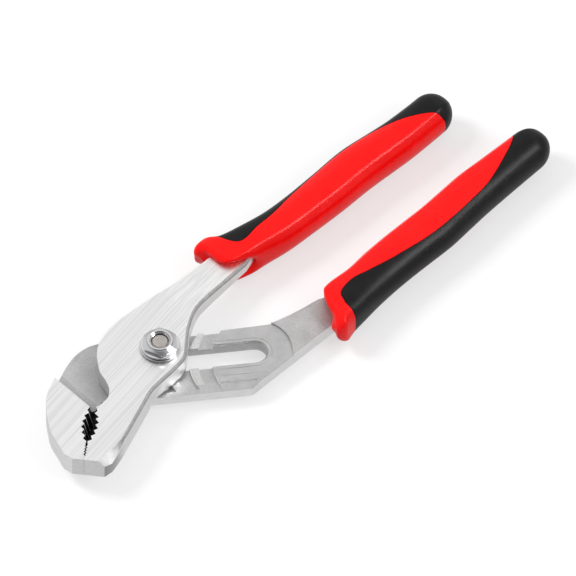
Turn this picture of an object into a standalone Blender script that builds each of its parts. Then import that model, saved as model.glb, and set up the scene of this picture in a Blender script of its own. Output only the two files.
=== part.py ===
"""Water pump pliers, 10-inch class, with grooved slip joint and two-colour handles.

Metres, +Z up. The origin is on the pivot axis, in the outer face of the bolt head, which is
the face the tool lies on. X runs back along the handles, the jaws point to -X, the nut is up.
"""
import math

import bmesh
import bpy

for item in list(bpy.data.objects):
    bpy.data.objects.remove(item, do_unlink=True)

# Reach of the tool from the pivot axis
jaw_reach = 0.0656
neck_rise = 0.0250
upper_collar = 0.0505
upper_reach = 0.1753
lower_collar = 0.0635
lower_reach = 0.1916

# Levels, counted up from the bolt head's outer face
head_height = 0.0030
arm_thick = 0.0060
recess_depth = 0.0008
plate_thick = 0.0080
jaw_thick = 0.0100
tang_thick = 0.0038

# Clearances
fit_gap = 0.0003
overrun = 0.0040

# Slot and its row of grooves
slot_angle = math.radians(-36.6)
slot_half_width = 0.0050
slot_play = 0.0005
slot_chamfer = 0.0008
groove_pitch = 0.0095
groove_count = 5
groove_radius = 0.0285
groove_width = 0.0057
groove_ahead = 0.0083
groove_below = 0.0038
groove_depth = 0.0019
rib_drop = 0.0007
tongue_width = 0.0047
tongue_half_length = 0.0100
recess_head_radius = 0.0255
recess_tail_radius = 0.0160
boss_radius = 0.0155

# Arm edges
rail_far = 0.0124
rail_near = 0.0182
ledge_inset = 0.0046
relief_radius = 0.0240
relief_margin = 0.0010

# Mouth and teeth
mouth_angle = math.radians(218.6)
mouth_length = 0.0204
mouth_bow = 0.0036
mouth_start_share = 0.12
tooth_count = 7
tooth_depth = 0.0014
tooth_root_share = 0.60
bite_gap = 0.0004
bite_length = 0.0066
tip_width_near = 0.0084
tip_width_far = 0.0048
facet_run = 0.0024
facet_drop = 0.0037
facet_angle = math.radians(187.9)
facet_start_share = (-0.564, -0.888)
ramp_length = 0.0069

# Pivot bolt, washer and nut
head_radius = 0.0080
head_chamfer = 0.0010
shoulder_radius = 0.0047
neck_radius = 0.0034
washer_radius = 0.0083
washer_thick = 0.0008
nut_flange_radius = 0.0079
nut_flange_thick = 0.0009
nut_across_flats = 0.0130
nut_height = 0.0036
nut_crown_radius = 0.0052
bolt_sunk = 0.0010

# Grips
grip_half_width = 0.0090
grip_half_depth = 0.0090
grip_axis_height = 0.0100
upper_axis = 0.0145
lower_axis = 0.0275
skin = 0.0026
tang_half_width = 0.0036
tang_share = 0.70
tang_entry = 0.0140
upper_wave = 0.0060
upper_flare = 0.0020
upper_top_lift = -0.0020
upper_bottom_lift = 0.0
lower_wave = 0.0055
lower_flare = 0.0
lower_top_lift = 0.0020
lower_bottom_lift = 0.0035
collar_fade = 0.0240

arm_bottom = head_height + fit_gap
arm_top = arm_bottom + arm_thick
recess_top = arm_top - recess_depth
rib_top = recess_top - rib_drop
plate_bottom = arm_top + fit_gap
plate_top = plate_bottom + plate_thick
jaw_bottom = plate_top - jaw_thick
boss_bottom = recess_top + fit_gap
washer_bottom = plate_top + fit_gap
nut_bottom = washer_bottom + washer_thick + fit_gap
nut_top = nut_bottom + nut_height
slot_travel = groove_pitch * (groove_count - 1)

# Outlines: X in shares of jaw_reach, Y in shares of neck_rise
plate_far_shares = (
    (0.71, 0.83), (0.42, 0.80), (0.10, 0.85), (-0.12, 0.84), (-0.28, 0.69),
    (-0.39, 0.35), (-0.42, 0.12), (-0.45, -0.05), (-0.50, -0.16), (-0.57, -0.185), (-0.605, -0.17),
)
plate_near_shares = (
    (-0.80, -1.088), (-0.69, -1.00), (-0.52, -0.82), (-0.35, -0.64), (-0.25, -0.545), (-0.08, -0.50),
    (0.02, -0.465), (0.08, -0.40), (0.17, -0.19), (0.26, 0.00), (0.40, 0.19), (0.62, 0.27), (0.86, 0.34),
)
neck_shares = (
    (-0.998, -0.50), (-0.975, -0.32), (-0.94, -0.04), (-0.89, 0.17), (-0.82, 0.41), (-0.74, 0.59),
    (-0.63, 0.72), (-0.50, 0.89), (-0.37, 1.00), (-0.26, 0.995), (-0.17, 0.90),
)
bend_shares = (
    (0.44, -0.24), (0.61, -0.55), (0.70, -0.70), (0.82, -0.79), (0.93, -0.84), (1.03, -0.875),
)
heel_shares = ((0.95, -1.41), (0.53, -1.42), (0.27, -1.43))
mouth_top_share = (-0.62, -0.14)
jaw_line_share = -0.63
slope_start_share = 0.28
slope_stop_share = 1.04

# Grip stations: place along the grip, sway of its centre, half width, half depth, squareness
upper_grip_shares = (
    (0.00, 0.56, 0.98, 0.80, 3.5), (0.010, 0.56, 1.14, 0.90, 3.5), (0.025, 0.55, 1.20, 0.95, 3.5),
    (0.045, 0.51, 1.18, 0.97, 3.5), (0.075, 0.31, 1.04, 0.98, 3.2), (0.14, 0.165, 0.98, 0.97, 2.8),
    (0.23, 0.00, 0.99, 0.95, 2.5), (0.33, -0.03, 1.005, 0.94, 2.4), (0.46, 0.005, 1.05, 0.95, 2.4),
    (0.59, 0.085, 1.07, 0.96, 2.4), (0.71, 0.00, 1.005, 0.97, 2.4), (0.78, -0.047, 0.967, 0.97, 2.4),
    (0.87, -0.028, 0.948, 0.97, 2.3), (0.925, 0.005, 0.955, 0.97, 2.2),
)
lower_grip_shares = (
    (0.00, 0.62, 0.98, 0.85, 4.5), (0.012, 0.62, 1.14, 0.90, 3.5), (0.03, 0.58, 1.20, 0.95, 3.5),
    (0.06, 0.48, 1.15, 0.96, 3.3), (0.098, 0.43, 1.12, 0.95, 3.0), (0.166, 0.36, 1.065, 0.94, 2.6),
    (0.246, 0.245, 1.095, 0.94, 2.4), (0.332, 0.184, 1.10, 0.95, 2.4), (0.425, 0.163, 1.105, 0.95, 2.4),
    (0.503, 0.146, 1.105, 0.95, 2.4), (0.589, 0.042, 1.082, 0.96, 2.4), (0.675, -0.06, 1.058, 0.97, 2.4),
    (0.76, -0.094, 1.004, 0.97, 2.4), (0.847, -0.122, 0.968, 0.97, 2.3), (0.925, -0.145, 0.945, 0.97, 2.2),
)
# Edge of the black cover: place along the grip, distance from the grip's centre line
upper_cover_shares = (
    (0.040, 0.80), (0.052, 0.25), (0.075, -0.06), (0.110, -0.04), (0.165, 0.20), (0.256, 0.43),
    (0.337, 0.65), (0.48, 0.82), (0.60, 0.80), (0.69, 0.74), (0.78, 0.46), (0.865, -0.09),
    (0.915, -0.60), (0.94, -1.30),
)
lower_cover_shares = (
    (0.065, 0.40), (0.080, -0.10), (0.14, -0.24), (0.19, -0.01), (0.26, 0.27), (0.33, 0.44),
    (0.42, 0.575), (0.53, 0.60), (0.62, 0.60), (0.71, 0.51), (0.81, 0.06), (0.895, -0.52), (0.93, -1.30),
)
curve_steps = 7
ring_points = 28
dome_steps = 6


def smooth(points, steps=curve_steps):
    """Points on a smooth curve that passes through every given point."""
    ends = [points[0], *points, points[-1]]
    found = []
    for before, start, stop, after in zip(ends, ends[1:], ends[2:], ends[3:]):
        for step in range(steps):
            t = step / steps
            found.append(tuple(
                0.5 * (2 * q + (r - p) * t + (2 * p - 5 * q + 4 * r - s) * t * t
                       + (3 * q - 3 * r + s - p) * t * t * t)
                for p, q, r, s in zip(before, start, stop, after)))
    found.append(tuple(points[-1]))
    return found


def sized(shares):
    """Outline points in metres from shares of the jaw's reach and the neck's rise."""
    return [(x * jaw_reach, y * neck_rise) for x, y in shares]


def arc(centre, radius, start, stop, steps):
    """Points on an arc, its angles in degrees."""
    turns = [math.radians(start + (stop - start) * step / steps) for step in range(steps + 1)]
    return [(centre[0] + radius * math.cos(a), centre[1] + radius * math.sin(a)) for a in turns]


def along_slot(points):
    """Points given along and across the slot, turned into the tool's frame."""
    cos, sin = math.cos(slot_angle), math.sin(slot_angle)
    return [(s * cos - t * sin, s * sin + t * cos) for s, t in points]


def material(name, colour, roughness, metallic):
    made = bpy.data.materials.new(name)
    made.use_nodes = True
    shader = made.node_tree.nodes["Principled BSDF"]
    shader.inputs["Base Color"].default_value = (*colour, 1.0)
    shader.inputs["Roughness"].default_value = roughness
    shader.inputs["Metallic"].default_value = metallic
    return made


def add_object(name, mesh_data, finish=None):
    """An object from a bmesh, with its faces turned out and its sharp edges kept."""
    bmesh.ops.recalc_face_normals(mesh_data, faces=mesh_data.faces)
    mesh = bpy.data.meshes.new(name)
    mesh_data.to_mesh(mesh)
    mesh_data.free()
    mesh.shade_smooth()
    mesh.set_sharp_from_angle(angle=math.radians(35))
    made = bpy.data.objects.new(name, mesh)
    bpy.context.scene.collection.objects.link(made)
    if finish:
        mesh.materials.append(finish)
    return made


def stack(name, rings, finish=None):
    """A closed solid through rings of as many points each, from the lowest to the highest."""
    data = bmesh.new()
    rows = [[data.verts.new(point) for point in ring] for ring in rings]
    for low, high in zip(rows, rows[1:]):
        for i in range(len(low)):
            j = (i + 1) % len(low)
            data.faces.new((low[i], low[j], high[j], high[i]))
    data.faces.new(rows[0])
    data.faces.new(rows[-1])
    return add_object(name, data, finish)


def prism(name, outline, bottom, top, finish=None):
    """An outline pushed up from bottom to top."""
    data = bmesh.new()
    low = [data.verts.new((x, y, bottom)) for x, y in outline]
    high = [data.verts.new((x, y, top)) for x, y in outline]
    for i in range(len(low)):
        j = (i + 1) % len(low)
        data.faces.new((low[i], low[j], high[j], high[i]))
    data.faces.new(low)
    data.faces.new(high)
    return add_object(name, data, finish)


def disc(radius, height, points=48):
    """A ring of points at one height, round the pivot axis."""
    return [(x, y, height) for x, y in arc((0, 0), radius, 0, 360 * (points - 1) / points, points - 1)]


def cut(target, tool, operation="DIFFERENCE"):
    """Cuts target with tool, joins tool to it, or keeps what both share."""
    tool.hide_render = True
    tool.display_type = "WIRE"
    step = target.modifiers.new(tool.name, "BOOLEAN")
    step.operation = operation
    step.solver = "EXACT"
    step.object = tool


def mouth_point(a, b):
    """A point a along the line the jaws close on and b to its left-jaw side."""
    cos, sin = math.cos(mouth_angle), math.sin(mouth_angle)
    x, y = mouth_top_share
    return (x * jaw_reach + a * cos + b * sin, y * neck_rise + a * sin - b * cos)


def mouth_profile(side):
    """Toothed biting edge of one jaw, from the mouth's top to the tip; side 1 is the left jaw."""
    def root(a):
        turn = mouth_start_share + (1 - mouth_start_share) * a / mouth_length
        return mouth_bow * math.sin(math.pi * turn)

    half_gap = bite_gap / 2
    pitch = mouth_length / tooth_count
    points = []
    for tooth in range(tooth_count):
        crest = tooth * pitch
        valley = crest + tooth_root_share * pitch
        points.append((crest, max(root(crest) - tooth_depth, half_gap) if tooth else root(crest)))
        points.append((valley, max(root(valley), half_gap)))
    points.append((mouth_length, half_gap))
    points.append((mouth_length + bite_length, half_gap))
    return [mouth_point(a, side * b) for a, b in points]


def grip_path(shares, collar, reach, axis):
    """Grip stations in metres: x, y, half width, half depth, squareness. The side is axis's."""
    length = reach - collar
    out = math.copysign(1, axis)
    return [(collar + place * length, axis + out * sway * grip_half_width,
             wide * grip_half_width, deep * grip_half_depth, square)
            for place, sway, wide, deep, square in smooth(shares, 2)]


def centre_at(stations, x):
    """The grip's centre line at x, read between its stations."""
    for (x0, y0, *rest), (x1, y1, *more) in zip(stations, stations[1:]):
        if x < x1:
            return y0 + (y1 - y0) * (x - x0) / (x1 - x0)
    return stations[-1][1]


def grip_solid(name, stations, reach, front, inset=0.0, finish=None):
    """A grip's outer form, or with an inset its core, from the waved front to the round end."""
    x_last, y_last, wide, deep, square = stations[-1]
    wave, flare, top_lift, bottom_lift = front
    out = math.copysign(1, y_last)
    rows = list(stations)
    for step in range(1, dome_steps):
        turn = math.pi / 2 * step / dome_steps
        rows.append((x_last + (reach - x_last) * math.sin(turn), y_last,
                     wide * math.cos(turn), deep * math.cos(turn), square))
    rings = []
    for x, y, wide, deep, square in rows:
        if min(wide, deep) < 2 * inset:
            break
        fade = max(0.0, 1 - (x - stations[0][0]) / collar_fade)
        ring = []
        for k in range(ring_points):
            turn = 2 * math.pi * k / ring_points
            cos, sin = math.cos(turn), math.sin(turn)
            side = math.copysign(abs(cos) ** (2 / square), cos)
            rise = math.copysign(abs(sin) ** (2 / square), sin)
            lift = top_lift if sin > 0 else bottom_lift
            shift = fade * fade * (lift * abs(sin) - wave * cos + flare * cos * cos)
            ring.append((x + shift, y + out * (wide - inset) * side,
                         grip_axis_height + (deep - inset) * rise))
        rings.append(ring)
    return stack(name, rings, finish)


def cover_plan(shares, stations, collar, reach, margin):
    """The plan of a grip's black part, wider than the grip on its outer side and at its end."""
    out = math.copysign(1, stations[0][1])
    edge = []
    for place, across in smooth(shares, 3):
        x = collar + place * (reach - collar)
        edge.append((x, centre_at(stations, x) + out * (across * grip_half_width - margin)))
    beyond = edge[0][1] + out * (2 * grip_half_width + overrun)
    edge[0] = (edge[0][0] - margin, edge[0][1])
    return [(edge[0][0], beyond), *edge, (reach + overrun, edge[-1][1]), (reach + overrun, beyond)]


def tang_sides(far_edge, near_edge, stations, collar, reach, margin=0.0):
    """Both sides of the steel inside a grip, from the full width in its collar to the tang's end."""
    start = collar + tang_entry
    stop = collar + tang_share * (reach - collar)
    middle = [(x, y) for x, y, *rest in stations if start < x < stop]
    far = [(x, y + margin) for x, y in far_edge]
    near = [(x, y - margin) for x, y in near_edge]
    far += [(x, y + tang_half_width + margin) for x, y in middle]
    near += [(x, y - tang_half_width - margin) for x, y in middle]
    far[-1] = (far[-1][0] + margin, far[-1][1])
    near[-1] = (near[-1][0] + margin, near[-1][1])
    return far, near


def upper_sides(margin=0.0):
    """Sides of the plate arm in its grip."""
    edges = [sized(plate_far_shares[:1]), sized(plate_near_shares[-2:])]
    return tang_sides(*edges, upper_stations, upper_collar, upper_reach, margin)


def lower_sides(margin=0.0):
    """Sides of the slotted arm in its grip."""
    edges = [sized(bend_shares[-3:]), sized(heel_shares[1::-1])]
    return tang_sides(*edges, lower_stations, lower_collar, lower_reach, margin)


def slope_bar(name, lift=0.0):
    """A cutter for the top of the plate arm's tail, which slopes down into the grip."""
    start, stop = slope_start_share * jaw_reach, slope_stop_share * jaw_reach
    low, high = plate_bottom + tang_thick + lift, plate_top + lift
    beyond = upper_reach + overrun
    slope = [(start, high), (stop, low), (beyond, low), (beyond, high + overrun), (start, high + overrun)]
    return bar(name, slope, half_span)


def rise_bar(name, lift=0.0):
    """A cutter for the underside of the slotted arm's tail, which rises into the grip."""
    start, stop = lower_collar + overrun, lower_collar + tang_entry
    low, high = arm_bottom - lift, arm_top - tang_thick - lift
    beyond = lower_reach + overrun
    rise = [(start, low - overrun), (start, low), (stop, high), (beyond, high), (beyond, low - overrun)]
    return bar(name, rise, half_span)


def bar(name, profile, half_span):
    """A solid with an X-Z profile, spanning Y."""
    rings = [[(x, y, z) for x, z in profile] for y in (-half_span, half_span)]
    return stack(name, rings)


def turned(name, rings, finish):
    """A ring-shaped solid: its rings run once round its section."""
    data = bmesh.new()
    rows = [[data.verts.new(point) for point in ring] for ring in rings]
    for low, high in zip(rows, rows[1:] + rows[:1]):
        for i in range(len(low)):
            j = (i + 1) % len(low)
            data.faces.new((low[i], low[j], high[j], high[i]))
    return add_object(name, data, finish)


satin_steel = material("brushed_steel", (0.72, 0.72, 0.73), 0.32, 1.0)
blasted_steel = material("blasted_steel", (0.50, 0.50, 0.51), 0.55, 1.0)
bright_steel = material("bright_steel", (0.80, 0.80, 0.81), 0.15, 1.0)
red_plastic = material("red_plastic", (0.90, 0.01, 0.01), 0.35, 0.0)
black_rubber = material("black_rubber", (0.012, 0.012, 0.014), 0.50, 0.0)

upper_stations = grip_path(upper_grip_shares, upper_collar, upper_reach, upper_axis)
lower_stations = grip_path(lower_grip_shares, lower_collar, lower_reach, -lower_axis)
jaw_line = jaw_line_share * jaw_reach
half_span = 2 * neck_rise
groove_outer = groove_radius + groove_width / 2
groove_inner = groove_radius - groove_width / 2


def slotted_arm_outline():
    far, near = lower_sides()
    outline = mouth_profile(1)
    outline.append(mouth_point(mouth_length + bite_length, tip_width_far))
    outline += smooth(sized(neck_shares))
    outline += along_slot([(-slot_travel / 2, rail_far), (slot_travel / 2, rail_far)])
    outline += smooth(sized(bend_shares[:-2]))[:-1]
    outline += far + near[::-1]
    outline += sized(heel_shares[2:])
    outline += along_slot([(slot_travel - groove_pitch, -rail_near), (-recess_head_radius, -rail_near)])
    return outline


def slot_ring(radius, height):
    """A ring of points round the slot, at one height."""
    far_end = arc((slot_travel + slot_play, 0), radius, -90, 90, 12)
    near_end = arc((-slot_play, 0), radius, 90, 270, 12)
    return [(x, y, height) for x, y in along_slot(far_end + near_end)]


def groove_wall(position, radius, upper, lower):
    """Points down one wall of a groove, from upper to lower across the slot."""
    top = math.degrees(math.asin((upper + groove_below) / radius))
    foot = math.degrees(math.asin((lower - groove_below) / radius))
    return arc((position + groove_ahead, -groove_below), radius, 180 - top, 180 + foot, 8)


def make_slotted_arm():
    """The arm with the slot, the grooves and the left jaw."""
    arm = prism("slotted_arm", slotted_arm_outline(), arm_bottom, plate_top, blasted_steel)
    above = plate_top + overrun
    below = arm_bottom - overrun
    tail = lower_reach + overrun
    ramp = [(jaw_line + ramp_length * (1 - math.cos(turn)), plate_top - (plate_top - arm_top) * math.sin(turn))
            for turn in (math.pi / 2 * step / 8 for step in range(9))]
    cut(arm, bar("top_cutter", [(jaw_line, above), *ramp, (tail, arm_top), (tail, above)], half_span))
    foot = jaw_line + ramp_length
    under = [(-jaw_reach - overrun, below), (foot - overrun / 2, below), (foot - overrun / 2, arm_bottom),
             (jaw_line, jaw_bottom), (-jaw_reach - overrun, jaw_bottom)]
    cut(arm, bar("jaw_underside_cutter", under, half_span))
    tail_s = slot_travel
    recess = arc((0, 0), recess_head_radius, 90, 270, 20)
    recess += [(tail_s + recess_tail_radius, -recess_head_radius), (tail_s + recess_tail_radius, 0)]
    recess += arc((tail_s, 0), recess_tail_radius, 0, 90, 12)[1:]
    recess.append((tail_s, recess_head_radius))
    cut(arm, prism("recess_cutter", along_slot(recess), recess_top, arm_top + overrun))
    far, near = rail_far + overrun, rail_near + overrun
    field = groove_wall(0, groove_outer, far, near) + groove_wall(tail_s, groove_inner, far, near)[::-1]
    cut(arm, prism("rib_field_cutter", along_slot(field), rib_top, arm_top + overrun / 2))
    ledge_line = -rail_near + ledge_inset
    ledge = [(-groove_pitch, ledge_line), (-groove_pitch, -near), (tail_s, -near), (tail_s, ledge_line)]
    cut(arm, prism("ledge_cutter", along_slot(ledge), rib_top, arm_top + overrun / 3))
    for number in range(groove_count):
        place = number * groove_pitch
        near = rail_near - ledge_inset / 2
        plan = groove_wall(place, groove_outer, far, near) + groove_wall(place, groove_inner, far, near)[::-1]
        plan = along_slot(plan)
        cut(arm, prism(f"groove_cutter_{number + 1}", plan, recess_top - groove_depth, arm_top + overrun))
    levels = [(slot_half_width, below), (slot_half_width, recess_top - slot_chamfer),
              (slot_half_width + slot_chamfer, recess_top), (slot_half_width + slot_chamfer, above)]
    cut(arm, stack("slot_cutter", [slot_ring(radius, height) for radius, height in levels]))
    cut(arm, rise_bar("tang_underside_cutter"))
    return arm


def make_plate_arm():
    """The arm with the tongue and the right jaw, which turns on the bolt."""
    far, near = upper_sides()
    outline = smooth(sized(plate_far_shares)) + mouth_profile(-1)
    outline.append(mouth_point(mouth_length + bite_length, -tip_width_near))
    outline += smooth(sized(plate_near_shares[:-1])) + near[1:] + far[:0:-1]
    arm = prism("plate_arm", outline, jaw_bottom, plate_top, satin_steel)
    clear = rail_near + relief_margin
    reach = 2 * jaw_reach
    turn = math.degrees(math.asin(clear / relief_radius))
    relief = [(-reach, -clear), *arc((0, 0), relief_radius, 180 + turn, 360 - turn, 12),
              (reach, -clear), (reach, reach), (-reach, reach)]
    relief = along_slot(relief)
    relief_cutter = prism("relief_cutter", relief, jaw_bottom - overrun, plate_bottom)
    boss = [(x, y) for x, y, z in disc(boss_radius, 0)]
    cut(relief_cutter, prism("boss_form", boss, boss_bottom, plate_bottom + overrun))
    tongue = []
    for radius in (groove_radius + tongue_width / 2, groove_radius - tongue_width / 2):
        tongue.append(groove_wall(0, radius, tongue_half_length, tongue_half_length))
    tongue = along_slot(tongue[0] + tongue[1][::-1])
    cut(relief_cutter, prism("tongue_form", tongue, boss_bottom, plate_bottom + overrun))
    cut(arm, relief_cutter)
    bore = neck_radius + fit_gap
    cut(arm, stack("bolt_hole_cutter", [disc(bore, boss_bottom - overrun), disc(bore, plate_top + overrun)]))
    cut(arm, slope_bar("slope_cutter"))
    cut(arm, facet_wedge())
    return arm


def facet_wedge():
    """A cutter for the big bevel along the outer top edge of the right jaw."""
    x, y = sized([facet_start_share])[0]
    cos, sin = math.cos(facet_angle), math.sin(facet_angle)
    rings = []
    for along in (-overrun, mouth_length + bite_length):
        ring = []
        for across, rise in ((-1, 1), (2, 1), (2, -2)):
            run = across * facet_run
            ring.append((x + along * cos - run * sin, y + along * sin + run * cos, plate_top + rise * facet_drop))
        rings.append(ring)
    return stack("facet_cutter", rings)


def make_pivot():
    """The bolt, with its head below, and the washer and domed nut on top."""
    shoulder_top = boss_bottom - fit_gap
    bolt_rings = [disc(head_radius - head_chamfer, 0), disc(head_radius, head_chamfer),
                  disc(head_radius, head_height), disc(shoulder_radius, head_height),
                  disc(shoulder_radius, shoulder_top), disc(neck_radius, shoulder_top),
                  disc(neck_radius, nut_top - bolt_sunk)]
    stack("pivot_bolt", bolt_rings, bright_steel)
    bore = neck_radius + fit_gap
    washer_top = washer_bottom + washer_thick
    turned("nut_washer", [disc(bore, washer_bottom), disc(washer_radius, washer_bottom),
                          disc(washer_radius, washer_top), disc(bore, washer_top)], bright_steel)
    flange_top = nut_bottom + nut_flange_thick
    crown = nut_top - nut_flange_thick / 2

    def hexagon(height):
        ring = []
        for x, y, z in disc(nut_flange_radius, height):
            turn = math.atan2(y, x) % (math.pi / 3) - math.pi / 6
            share = min(nut_across_flats / 2 / math.cos(turn) / nut_flange_radius, 1.0)
            ring.append((x * share, y * share, z))
        return ring

    turned("pivot_nut", [disc(bore, nut_bottom), disc(nut_flange_radius, nut_bottom),
                         disc(nut_flange_radius, flange_top), hexagon(flange_top),
                         hexagon((flange_top + crown) / 2), disc(nut_crown_radius, nut_top),
                         disc(bore, nut_top)], bright_steel)


def make_grip(side, stations, collar, reach, front, cover_shares, pocket):
    """A red sleeve moulded over the tang and the black cover moulded over the sleeve."""
    sleeve = grip_solid(f"{side}_grip_sleeve", stations, reach, front, 0.0, red_plastic)
    cover = grip_solid(f"{side}_grip_cover", stations, reach, front, 0.0, black_rubber)
    straight = (0.0, 0.0, 0.0, 0.0)
    core = grip_solid(f"{side}_core_form", stations, reach, straight, skin)
    wide_core = grip_solid(f"{side}_core_cutter", stations, reach, straight, skin - fit_gap)
    low, high = grip_axis_height - 2 * grip_half_depth, grip_axis_height + 2 * grip_half_depth
    plan = cover_plan(cover_shares, stations, collar, reach, 0.0)
    wide_plan = cover_plan(cover_shares, stations, collar, reach, fit_gap)
    cut(cover, prism(f"{side}_cover_form", plan, low, high), "INTERSECT")
    cut(cover, wide_core)
    rebate = prism(f"{side}_rebate_cutter", wide_plan, low - overrun, high + overrun)
    cut(rebate, core)
    cut(sleeve, rebate)
    cut(sleeve, pocket)
    cut(cover, pocket)


def make_grips():
    """Both grips, each with a pocket shaped like the steel inside it."""
    far, near = upper_sides(fit_gap)
    outline = near + far[::-1]
    pocket = prism("upper_pocket_cutter", outline, plate_bottom - fit_gap, plate_top + fit_gap)
    cut(pocket, slope_bar("upper_pocket_slope", fit_gap))
    front = (upper_wave, upper_flare, upper_top_lift, upper_bottom_lift)
    make_grip("upper", upper_stations, upper_collar, upper_reach, front, upper_cover_shares, pocket)
    far, near = lower_sides(fit_gap)
    outline = near + far[::-1]
    pocket = prism("lower_pocket_cutter", outline, arm_bottom - fit_gap, arm_top + fit_gap)
    cut(pocket, rise_bar("lower_pocket_rise", fit_gap))
    front = (lower_wave, lower_flare, lower_top_lift, lower_bottom_lift)
    make_grip("lower", lower_stations, lower_collar, lower_reach, front, lower_cover_shares, pocket)


make_slotted_arm()
make_plate_arm()
make_pivot()
make_grips()
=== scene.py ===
# %% [markdown]
# # Water pump pliers, dressed for the studio
# These pliers have two steel arms that cross at a bolt. The bolt slides along a slot with a row
# of grooves, which sets how wide the jaws open, and each arm ends in a red and black grip.
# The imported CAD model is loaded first. It fixes every size, and each piece made below stands
# where its CAD node stands.

import math

import bmesh
import bpy
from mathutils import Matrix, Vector


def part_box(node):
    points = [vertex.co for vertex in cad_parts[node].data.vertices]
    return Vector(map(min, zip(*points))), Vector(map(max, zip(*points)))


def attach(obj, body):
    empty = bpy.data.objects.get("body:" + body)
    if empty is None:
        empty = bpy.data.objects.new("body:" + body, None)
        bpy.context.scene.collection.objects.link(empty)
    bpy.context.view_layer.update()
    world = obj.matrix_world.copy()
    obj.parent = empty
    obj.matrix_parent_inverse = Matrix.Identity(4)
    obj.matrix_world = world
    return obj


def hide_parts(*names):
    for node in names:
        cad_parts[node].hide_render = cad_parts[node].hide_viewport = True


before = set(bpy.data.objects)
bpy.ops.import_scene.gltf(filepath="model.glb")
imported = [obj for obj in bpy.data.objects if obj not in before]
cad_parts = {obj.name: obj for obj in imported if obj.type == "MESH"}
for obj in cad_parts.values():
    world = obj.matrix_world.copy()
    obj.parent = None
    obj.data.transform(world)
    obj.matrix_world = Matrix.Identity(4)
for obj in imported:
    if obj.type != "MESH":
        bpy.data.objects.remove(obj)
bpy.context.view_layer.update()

# %% [markdown]
# ## Camera
# The photograph was taken with a long lens: edges that run side by side on the tool stay side by
# side in the picture. A camera with a very long lens, set far back, does the same.
# It looks down at 52 degrees, and 2.47 pixels of the 576 stand for one millimetre.

# %% Camera
picture_pixels = 576
pixels_per_metre = 2470
lens_mm = 1600
sensor_mm = 36
aim = Vector((0.05833, -0.01393, 0.0176))
camera_turn, camera_lift = 226.2, 52


def towards(turn, lift):
    """A direction, from its turn about the vertical and its lift above the table in degrees."""
    turn, lift = math.radians(turn), math.radians(lift)
    return Vector((math.cos(turn) * math.cos(lift), math.sin(turn) * math.cos(lift), math.sin(lift)))


back = towards(camera_turn, camera_lift)
distance = picture_pixels / pixels_per_metre * lens_mm / sensor_mm
camera_data = bpy.data.cameras.new("camera")
camera_data.lens = lens_mm
camera_data.sensor_width = sensor_mm
camera_data.clip_start = 1.0
camera_data.clip_end = 40.0
camera = bpy.data.objects.new("camera", camera_data)
camera.location = aim + back * distance
camera.rotation_mode = "QUATERNION"
camera.rotation_quaternion = (-back).to_track_quat("-Z", "Y")
bpy.context.scene.collection.objects.link(camera)
bpy.context.scene.camera = camera
print("The camera stands", round(distance, 2), "m away")

# %% [markdown]
# ## Helpers
# An operator acts on everything that is selected, so each step starts by deselecting all.

# %% Helpers for objects and edit mode
merge_gap = 0.000002


def only(piece):
    """Selects one object alone and makes it the active one."""
    if bpy.context.object and bpy.context.object.mode != "OBJECT":
        bpy.ops.object.mode_set(mode="OBJECT")
    bpy.ops.object.select_all(action="DESELECT")
    piece.hide_set(False)
    piece.select_set(True)
    bpy.context.view_layer.objects.active = piece


def edit(piece, action="DESELECT"):
    """Opens one object in edit mode with nothing selected, or with all of it selected."""
    only(piece)
    bpy.ops.object.mode_set(mode="EDIT")
    bpy.ops.mesh.select_all(action=action)


def close():
    """Leaves edit mode."""
    bpy.ops.object.mode_set(mode="OBJECT")


def close_outward():
    """Turns every face outward and leaves edit mode."""
    bpy.ops.mesh.select_all(action="SELECT")
    bpy.ops.mesh.normals_make_consistent(inside=False)
    close()


def draft(name, points, edges, faces):
    """A new piece from a few points, open in edit mode with all of it selected."""
    mesh = bpy.data.meshes.new(name)
    mesh.from_pydata(points, edges, faces)
    piece = bpy.data.objects.new(name, mesh)
    bpy.context.scene.collection.objects.link(piece)
    edit(piece, "SELECT")
    return piece


def apply(piece, kind, **settings):
    """Adds one modifier and applies it."""
    only(piece)
    bpy.ops.object.modifier_add(type=kind)
    step = piece.modifiers[-1]
    for name, value in settings.items():
        setattr(step, name, value)
    bpy.ops.object.modifier_apply(modifier=step.name)


def carve(piece, tool, operation="DIFFERENCE"):
    """Cuts a piece with a tool, or keeps or joins what they share, and removes the tool."""
    apply(piece, "BOOLEAN", operation=operation, object=tool, solver="EXACT")
    bpy.data.objects.remove(tool, do_unlink=True)


def shade(piece, degrees=30):
    """Smooth shading with the sharp edges kept."""
    only(piece)
    bpy.ops.object.shade_smooth_by_angle(angle=math.radians(degrees))


# %% [markdown]
# ### Edges
# Real edges are never sharp. Each edge to be rounded is picked in code, by where its middle is
# and which way the two faces beside it look, and is then bevelled. Edges between nearly flat
# neighbours aren't real edges, so they are passed over.

# %% Helpers for edges
sharp_turn = math.radians(20)
flat_turn = math.radians(0.5)
shortest_edge = 0.00003


def pick_edges(piece, test):
    """Selects the edges for which test(middle, first normal, second normal) holds."""
    bpy.ops.mesh.select_all(action="DESELECT")
    bpy.ops.mesh.select_mode(type="EDGE")
    mesh = bmesh.from_edit_mesh(piece.data)
    mesh.normal_update()
    found = 0
    for edge in mesh.edges:
        if len(edge.link_faces) == 2:
            middle = (edge.verts[0].co + edge.verts[1].co) / 2
            a, b = (face.normal for face in edge.link_faces)
            if a.angle(b, 0) > sharp_turn and test(middle, a, b):
                edge.select_set(True)
                found += 1
    bmesh.update_edit_mesh(piece.data)
    return found


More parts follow.
